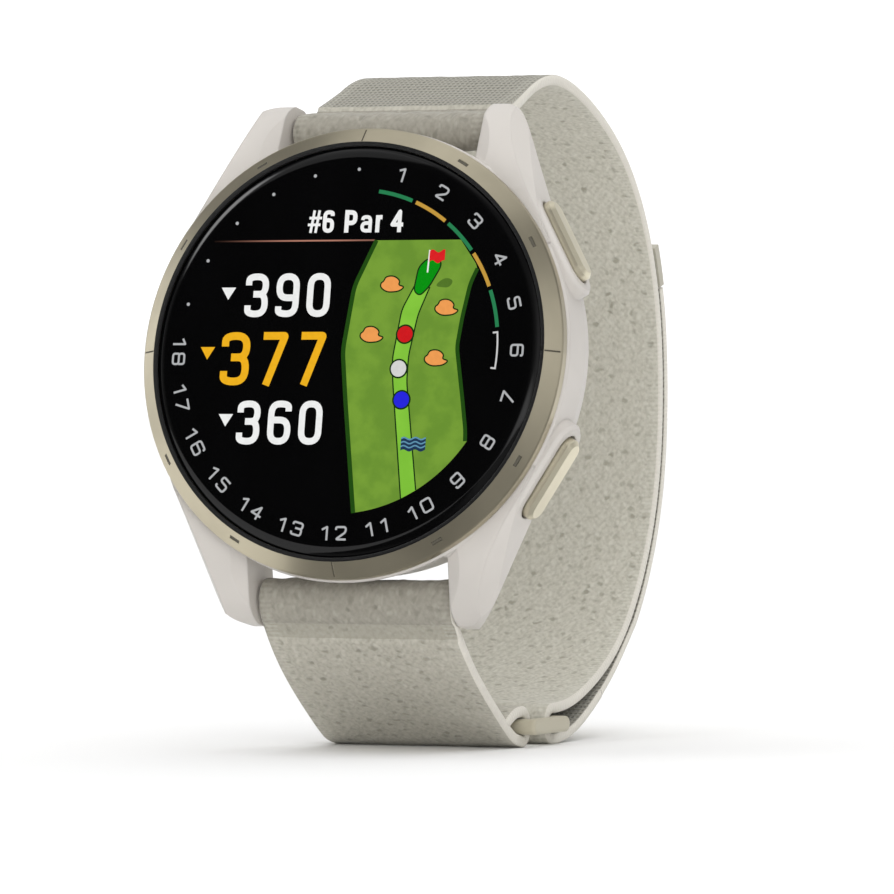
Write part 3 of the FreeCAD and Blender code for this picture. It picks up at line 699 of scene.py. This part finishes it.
def waves(run, x, seed, along, across):
    """Smooth value noise from 0 to 1: random values on a grid of along by across mm, eased."""
    draw = np.random.default_rng(seed)
    grid = draw.random((int(200 / along) + 3, int(30 / across) + 3))
    a, b = np.broadcast_arrays(run / along, (x + 12.0) / across)
    i, j = a.astype(int), b.astype(int)
    s, t = a - i, b - j
    s, t = s * s * (3 - 2 * s), t * t * (3 - 2 * t)
    low = grid[i, j] * (1 - t) + grid[i, j + 1] * t
    high = grid[i + 1, j] * (1 - t) + grid[i + 1, j + 1] * t
    return low * (1 - s) + high * s


def eased(value, start, end):
    """0 before start, 1 past end, and an eased slope between them, for arrays."""
    t = np.clip((value - start) / (end - start), 0, 1)
    return t * t * (3 - 2 * t)


def heather(front, fold_end, band=(0.0, 0.0), mesh_from=None):
    """Heathered weave read in the strap's own coordinates, 1 unit for 100 mm.

    Dark and pale flecks are stretched cells, jittered by slow noise, over a fine rib. front is the
    face that is turned out, 1 or -1. The front face is painted darker where it is folded, up to
    fold_end mm, as painted shade between the lugs, and the cloth is darker in the pressed band, as
    painted shade in its groove. Past mesh_from mm the front face is an open knit with staggered
    eyelets, whose holes are painted dark as shade.
    """
    def surface(place):
        wander = place.noise(90.0, 3.0, "Color")
        loose = wander.add("VectorMath", {"operation": "MULTIPLY_ADD"},
                           {0: wander, 1: (0.011, 0.011, 0.0), 2: place})
        u, v = place.axis("X") * 100.0, place.axis("Y") * 100.0
        side = v.maths("ABSOLUTE").maths("MINIMUM", (v - BACK_FACE).maths("ABSOLUTE"))
        rib = (loose.axis("Y") * 100.0).sine(0.66)
        pick = (loose.axis("X") * 100.0).sine(0.80)
        yarn = rib * pick * 0.5 + 0.5
        dash = loose.stretch(92.0, 76.0).cells(0.5)
        slant = loose.stretch(120.0, 150.0).cells(0.85)
        patch = place.stretch(40.0, 40.0).noise(1.0, 2.0)
        mottle = place.stretch(210.0, 210.0).noise(1.0, 3.0)
        dark = (1.0 - dash.step(0.10, 0.34)) * (patch.step(0.3, 0.7) * 0.5 + 0.5)
        light = (1.0 - slant.step(0.08, 0.5)) * 0.5
        inner = v > 20.0 if front > 0 else v < 20.0
        # Painted shade: the front face is darker where it is folded round the bar.
        folded = (u < fold_end) * (1.0 - inner)
        ground = folded.between(inner.between(CLOTH_FRONT, CLOTH_BACK), FOLD_SHADE)
        shade = folded.between(inner.between(FLECK_FRONT, FLECK_BACK), FLECK_FOLD_SHADE)
        pale = folded.between(inner.between(PALE_FRONT, PALE_BACK), PALE_FOLD_SHADE)
        colour = (yarn * 0.2 + mottle.step(0.40, 0.66) * 0.35).between(ground, shade)
        colour = light.between(colour, pale)
        colour = dark.between(colour, shade)
        # Painted shade: the groove of the pressed band is mixed half way to the dark fleck.
        groove_shade = (u > band[0]) * (u < band[1])
        colour = (groove_shade * 0.5).between(colour, shade)
        height = yarn * 0.3 + mottle * 0.4 - dark * 0.6 + light * 0.3
        if mesh_from is not None:
            knit = (v < 15.0) * (u > mesh_from + 0.35)
            aside = v + mottle * 0.12
            one = (u * (1 / 1.5) + aside * (1 / 0.95)).sine(1.0)
            two = (u * (1 / 1.5) - aside * (1 / 0.95)).sine(1.0)
            eyelet = (one * two).step(0.15, 0.7) * (mottle.step(0.35, 0.6) * 0.4 + 0.6)
            row = u.sine(0.75) * 0.5 + 0.5
            knitted = (row * 0.5 + mottle * 0.5).between(MESH_SHADE, MESH_PALE)
            # Painted shade: the knit's holes are painted dark.
            knitted = (eyelet * 0.8).between(knitted, EYELET_SHADE)
            colour = knit.between(colour, knitted)
            height = height * (1.0 - knit) + (row * 0.5 - eyelet * 0.8 + mottle * 0.2) * knit
        comb = side.step(8.3, 8.5) * (u.sine(0.42) * 0.5 + 0.5)
        colour = (comb * 0.3).between(colour, pale)
        bound = side.step(9.68, 9.8)
        colour = bound.between(colour, BINDING)
        height = height * (1.0 - bound) + comb * 0.3
        return {"Base Color": colour, "Roughness": 0.88, "Normal": height.bump(0.00016, 0.75),
                "Sheen Weight": 0.15, "Sheen Roughness": 0.5, "Specular IOR Level": 0.15}
    return surface


# Cloth, dark fleck and pale fleck of the outer face, the inner face and the folds, then the knit. The
# fold colours are painted shade, and so is the knit's dark eyelet colour, in its holes.
CLOTH_FRONT, FLECK_FRONT, PALE_FRONT = paint(186, 182, 170), paint(146, 143, 130), paint(200, 197, 186)
CLOTH_BACK, FLECK_BACK, PALE_BACK = paint(203, 200, 188), paint(160, 157, 143), paint(214, 212, 201)
FOLD_SHADE, FLECK_FOLD_SHADE, PALE_FOLD_SHADE = paint(157, 153, 142), paint(134, 131, 120), paint(174, 171, 160)
MESH_SHADE, MESH_PALE, EYELET_SHADE = paint(138, 135, 124), paint(166, 164, 153), paint(74, 72, 64)
BINDING = paint(216, 212, 202)

# The cloth's outer face seen from the side, from the top bar over the wrist to the ring, back out of
# the ring, and from the bottom bar to the ring.
long_outer = [(UPPER_BAR[0], UPPER_BAR[1] + 1.9), (12.6, 22.31), (14.6, 22.55), (17.8, 23.7),
              (21.8, 25.4), (26.9, 26.28), (32.5, 25.35), (38.8, 22.9), (45.3, 18.8), (50.3, 13.0),
              (53.6, 5.3), (54.6, -3.5), (53.4, -13.5), (49.6, -21.8), (43.2, -28.7),
              (36.0, -32.4), (28.6, -34.2), (REAR_BAR[0], RING_Z + 0.95)]
return_outer = [(REAR_BAR[0], -37.204), (28.2, -37.12), (31.4, -36.5), (36.2, -34.55),
                (41.8, -31.25), (47.0, -27.1)]
short_outer = [(LOWER_BAR[0] - 1.9, LOWER_BAR[1]), (1.68, -24.0), (2.5, -25.5), (5.2, -28.6),
               (8.6, -31.5), (12.0, -33.9), (15.0, -35.85), (17.0, -36.85), (FRONT_BAR[0], -37.204)]

outer = spline(long_outer)
long_middle = outer - normals(outer) * 0.5
back = spline(return_outer)
return_middle = back + normals(back) * 0.5
under_fold = spline([(17.6, 22.35), (15.6, 21.3), (13.6, 19.9), (12.4, 19.25)])
top_fold = bow(UPPER_BAR, FOLD, -62.0, -268.0)
ring_turn = bow(REAR_BAR, TURN, 90.0, 270.0)
split = int(len(return_middle) * 0.55)          # where the tail's own body starts
long_line = evenly(np.vstack([under_fold, top_fold, long_middle[2:], ring_turn[1:-1],
                              return_middle[:split + 1]]))


long_runs = runs(long_line)
over_bar = np.argmax((long_runs > 8.0) & (long_line[:, 0] > 14.6))
MESH_FROM = float(long_runs[over_bar])


def long_relief(run, x, face):
    """Puckers where the cloth is folded and sewn, a stepped end where the knit starts over it,
    and the unevenness of the weave."""
    folded = 1 - eased(run, MESH_FROM - 1.0, MESH_FROM)
    pucker = (waves(run, x, 11, 2.6, 1.7) - 0.5) * 0.22 * folded
    step = 0.42 * eased(run, MESH_FROM - 0.1, MESH_FROM + 0.25)
    step = step * (1 - eased(run, MESH_FROM + 1.0, MESH_FROM + 7.0)) * (face > 0)
    weave = (waves(run, x, 5, 0.8, 0.6) - 0.5) * 0.07
    inside = np.clip((9.6 - np.abs(x)) / 1.0, 0, 1)
    return (pucker + weave) * inside + step


long_cloth = material("long_strap_weave", heather(1, MESH_FROM, mesh_from=MESH_FROM), "UV")
long_piece = cloth("long_strap_cloth", long_line, 1.0, long_cloth, "long_strap", long_relief)
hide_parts("long_strap")

short_line_outer = spline(short_outer)
short_middle = short_line_outer + normals(short_line_outer) * 0.6
bottom_fold = bow(LOWER_BAR, FOLD, -50.0, 178.0)
front_turn = bow(FRONT_BAR, TURN, -90.0, 90.0)
tab = spline([(18.8, -33.8), (17.3, -33.95), (15.9, -34.45), (14.9, -34.95)])
short_line = evenly(np.vstack([bottom_fold, short_middle[2:-1], front_turn[1:-1], tab]))
short_runs = runs(short_line)
past_fold = (short_runs > 5.0) & (short_runs < 20.0)
groove_start, groove_end = np.interp((25.0, 26.3), -short_line[past_fold, 1], short_runs[past_fold])


def short_relief(run, x, face):
    """Puckered fold round the bar, a pressed band below it, a sewn lip, and the weave."""
    folded = 1 - eased(run, groove_start - 0.5, groove_start)
    pucker = (waves(run, x, 21, 2.4, 1.3) - 0.5) * 0.2 * folded
    band = -0.2 * eased(run, groove_start - 0.3, groove_start + 0.1)
    band = band * (1 - eased(run, groove_end - 0.12, groove_end + 0.08)) * (face < 0)
    lip = 0.08 * eased(run, groove_end, groove_end + 0.15) * (face < 0)
    lip = lip * (1 - eased(run, groove_end + 0.3, groove_end + 3.0))
    weave = (waves(run, x, 8, 0.8, 0.6) - 0.5) * 0.07
    inside = np.clip((9.6 - np.abs(x)) / 1.0, 0, 1)
    return (pucker + weave) * inside + band + lip


short_cloth = material("short_strap_weave",
                       heather(-1, groove_start, (groove_start, groove_end)), "UV")
short_piece = cloth("short_strap_cloth", short_line, 1.05, short_cloth, "short_strap", short_relief)
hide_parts("short_strap")

# The tail lies on the long strap's outer face, 0.85 mm out, up to where its end tab is welded.
TAIL_END, TAIL_START, TAIL_LIFT = 51.6, 22.2, 0.85
run_outer = runs(outer)
tail_part = (run_outer > TAIL_END) & (run_outer < run_outer[-1] - TAIL_START)
tail_middle = (outer + normals(outer) * TAIL_LIFT)[tail_part][::-1]
tail_line = evenly(np.vstack([return_middle[split:], tail_middle]))


def tail_relief(run, x, face):
    """The unevenness of the weave."""
    inside = np.clip((9.6 - np.abs(x)) / 1.0, 0, 1)
    return (waves(run - long_runs[-1], x, 31, 0.8, 0.6) - 0.5) * 0.06 * inside


tail_piece = cloth("strap_tail_cloth", tail_line, 0.8, long_cloth, None, tail_relief,
                   start=float(long_runs[-1]))
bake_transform(tail_piece)
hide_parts("strap_tail")

# ---- Ring and tail end ----------------------------------------------------------------------------
# A moulded khaki ring joins the two lengths of strap, and a welded tab closes the tail's end.
finish_node(material("ring_polymer", moulded((178, 172, 152), 0.4, edge=0.0004)), "buckle_ring")
finish_node(material("tab_polymer", moulded((180, 176, 162), 0.5)), "tail_end_tab")
finish_node(material("hook_tape", moulded((190, 187, 174), 0.8, 2500.0, 0.0003)), "hook_patch")

# ---- Works inside the case and on the back ---------------------------------------------------------
# Boards, chips, cell, seals, screws and springs, each in the finish it has when it is fitted.
STEEL, BLACK = (172, 172, 172), (26, 26, 27)
works = {
    "spring_steel": (anodised(STEEL, 0.28), [n for n in node if "spring_bar" in n or "_stem" in n
                                              or "_clip" in n] + ["board_screws", "shield_can",
                                              "rear_cover_screws", "vibration_motor"]),
    "seal_rubber": (moulded(BLACK, 0.6), [n for n in node if "seal" in n or "gasket" in n]),
    "black_polymer": (moulded((34, 34, 36), 0.5), ["mid_frame", "charging_socket", "sensor_baffle"]
                      + [n for n in node if "switch" in n]),
    "chip_epoxy": (moulded((38, 38, 40), 0.55), ["processor_chip", "gps_chip", "sensor_photodiodes"]),
    "solder_mask": (moulded((22, 92, 58), 0.3), ["main_board", "sensor_board"]),
    "gold_plate": (anodised((226, 190, 108), 0.22), ["antenna_ring", "charging_contacts"]),
    "cell_foil": (anodised((196, 198, 202), 0.35), ["battery"]),
    "grey_foam": (moulded((92, 92, 95), 0.9, 1500.0, 0.0001), ["battery_pad"]),
    "amber_ribbon": (moulded((190, 118, 34), 0.3), ["display_flex"]),
    "led_lens": (moulded((190, 222, 178), 0.2), ["sensor_leds"]),
    "display_black": (moulded((8, 8, 9), 0.15), ["display_panel"]),
    "dark_window": (moulded((12, 12, 15), 0.08, 300.0, 0.000001), ["sensor_window"]),
}
for name, (surface, members) in works.items():
    finish_node(material(name, surface), *members)

# ---- Floor, light and camera -----------------------------------------------------------------------
# A white table under a soft tent of light, with a square soft box above and to the left. The
# camera stands level with the dial and to the right of it.
table = bpy.data.meshes.new("table_top")
reach = 6.0
table.from_pydata([(-reach, -reach, 0), (reach, -reach, 0), (reach, reach, 0), (-reach, reach, 0)],
                  [], [(0, 1, 2, 3)])


def table_paint(place):
    return {"Base Color": place.noise(3.0).between((0.93, 0.93, 0.93, 1), (0.94, 0.94, 0.94, 1)),
            "Roughness": 0.9, "Specular IOR Level": 0.1}


table.materials.append(material("table_paint", table_paint))
table_top = bpy.data.objects.new("table_top", table)
bpy.context.scene.collection.objects.link(table_top)

world = bpy.data.worlds.new("light_tent")
bpy.context.scene.world = world
world.use_nodes = True
sky = Field(world.node_tree)
ray = sky.add("TexCoord", (), (), "Generated")
height = ray.axis("Z")
glossy = sky.add("LightPath", (), (), "Is Glossy Ray")
seen = sky.add("LightPath", (), (), "Is Camera Ray")


def panel(x, y, z, inner, outer, bright):
    """Bright round panel in that direction, which fades from inner to outer degrees."""
    aim = Vector((x, y, z)).normalized()
    facing = ray.add("VectorMath", {"operation": "DOT_PRODUCT"}, {0: ray, 1: tuple(aim)}, 1)
    return facing.step(math.cos(math.radians(outer)), math.cos(math.radians(inner))) * bright


# The tent gives soft light from above, has panels and one black flag that gloss reflects, and is
# plain white where it is seen past the table.
overhead = height * 0.97 + ray.axis("Y") * 0.22
soft = 0.04 + overhead.step(0.15, 1.0) * 1.62 + panel(0.408, -0.913, 0.05, 10, 40, 3.5)
reflected = 0.18 + height.step(0.78, 0.97) * 0.7 + ray.axis("Y").step(0.2, 0.7) * 0.5
reflected = reflected + panel(-0.985, 0.1, 0.1, 8, 26, 1.1) + panel(0.8, -0.55, 0.2, 10, 38, 0.6)
reflected = reflected * (1.0 - panel(-0.408, -0.858, 0.313, 26, 44, 0.97))
reflected = reflected + panel(-0.74, -0.36, 0.565, 4, 11, 6.0) + panel(0.35, -0.93, 0.02, 4, 14, 1.4)
strength = soft * (1.0 - glossy) + reflected * glossy
strength = strength * (1.0 - seen) + seen * 1.15
background = world.node_tree.nodes["Background"]
world.node_tree.links.new(strength.socket, background.inputs["Strength"])
background.inputs["Color"].default_value = (1, 1, 1, 1)


# A soft box above and to the left of the watch, turned to it.
key_light = bpy.data.lights.new("key_box", "AREA")
key_light.size, key_light.energy = 0.5, 0.5
key_box = bpy.data.objects.new("key_box", key_light)
bpy.context.scene.collection.objects.link(key_box)
key_box.location = (-0.45, -0.5, 0.75)
key_aim = Vector((0.0, 0.0, 0.03)) - Vector((-0.45, -0.5, 0.75))
key_box.rotation_euler = key_aim.to_track_quat("-Z", "Y").to_euler()


def card_grey(place):
    """Grey of the card, dark in front of the watch and lighter behind and to the right."""
    near = place.axis("Y").step(-0.07, -0.045).maths("MAXIMUM", place.axis("X").step(0.01, 0.04))
    return {"Base Color": (0, 0, 0, 1), "Roughness": 1.0, "Specular IOR Level": 0.0,
            "Emission Color": near.between((0.03, 0.03, 0.03, 1), (0.31, 0.31, 0.31, 1)),
            "Emission Strength": 1.0}


# A grey card on the table in front of the watch, which only reflections see.
card = bpy.data.meshes.new("grey_card")
card.from_pydata([(-0.05, -1.0, 0.0002), (0.8, -1.0, 0.0002), (0.8, -0.02, 0.0002),
                  (-0.02, -0.02, 0.0002)], [], [(0, 1, 2, 3)])
card.materials.append(material("card_grey", card_grey))
grey_card = bpy.data.objects.new("grey_card", card)
bpy.context.scene.collection.objects.link(grey_card)
grey_card.visible_camera = grey_card.visible_diffuse = grey_card.visible_shadow = False

AZIMUTH, ELEVATION = math.radians(24.08), math.radians(-0.27)
DISTANCE = 0.654
LENS = 286.3
AIM_RIGHT, AIM_DOWN = math.radians(0.806), math.radians(0.775)
centre = Vector(DIAL * MM)
towards_eye = Vector((math.sin(AZIMUTH) * math.cos(ELEVATION), -math.cos(AZIMUTH) * math.cos(ELEVATION),
                      math.sin(ELEVATION)))
ahead = -towards_eye
right = ahead.cross(Vector((0, 0, 1))).normalized()
above = right.cross(ahead)
look = (ahead + right * math.tan(AIM_RIGHT) - above * math.tan(AIM_DOWN)).normalized()
camera = bpy.data.objects.new("camera", bpy.data.cameras.new("camera"))
bpy.context.scene.collection.objects.link(camera)
camera.location = centre + towards_eye * DISTANCE
camera.rotation_euler = look.to_track_quat("-Z", "Y").to_euler()
camera.data.lens, camera.data.sensor_width = LENS, 36.0
camera.data.clip_start, camera.data.clip_end = 0.01, 30.0
bpy.context.scene.camera = camera
bpy.context.scene.view_settings.view_transform = "Standard"
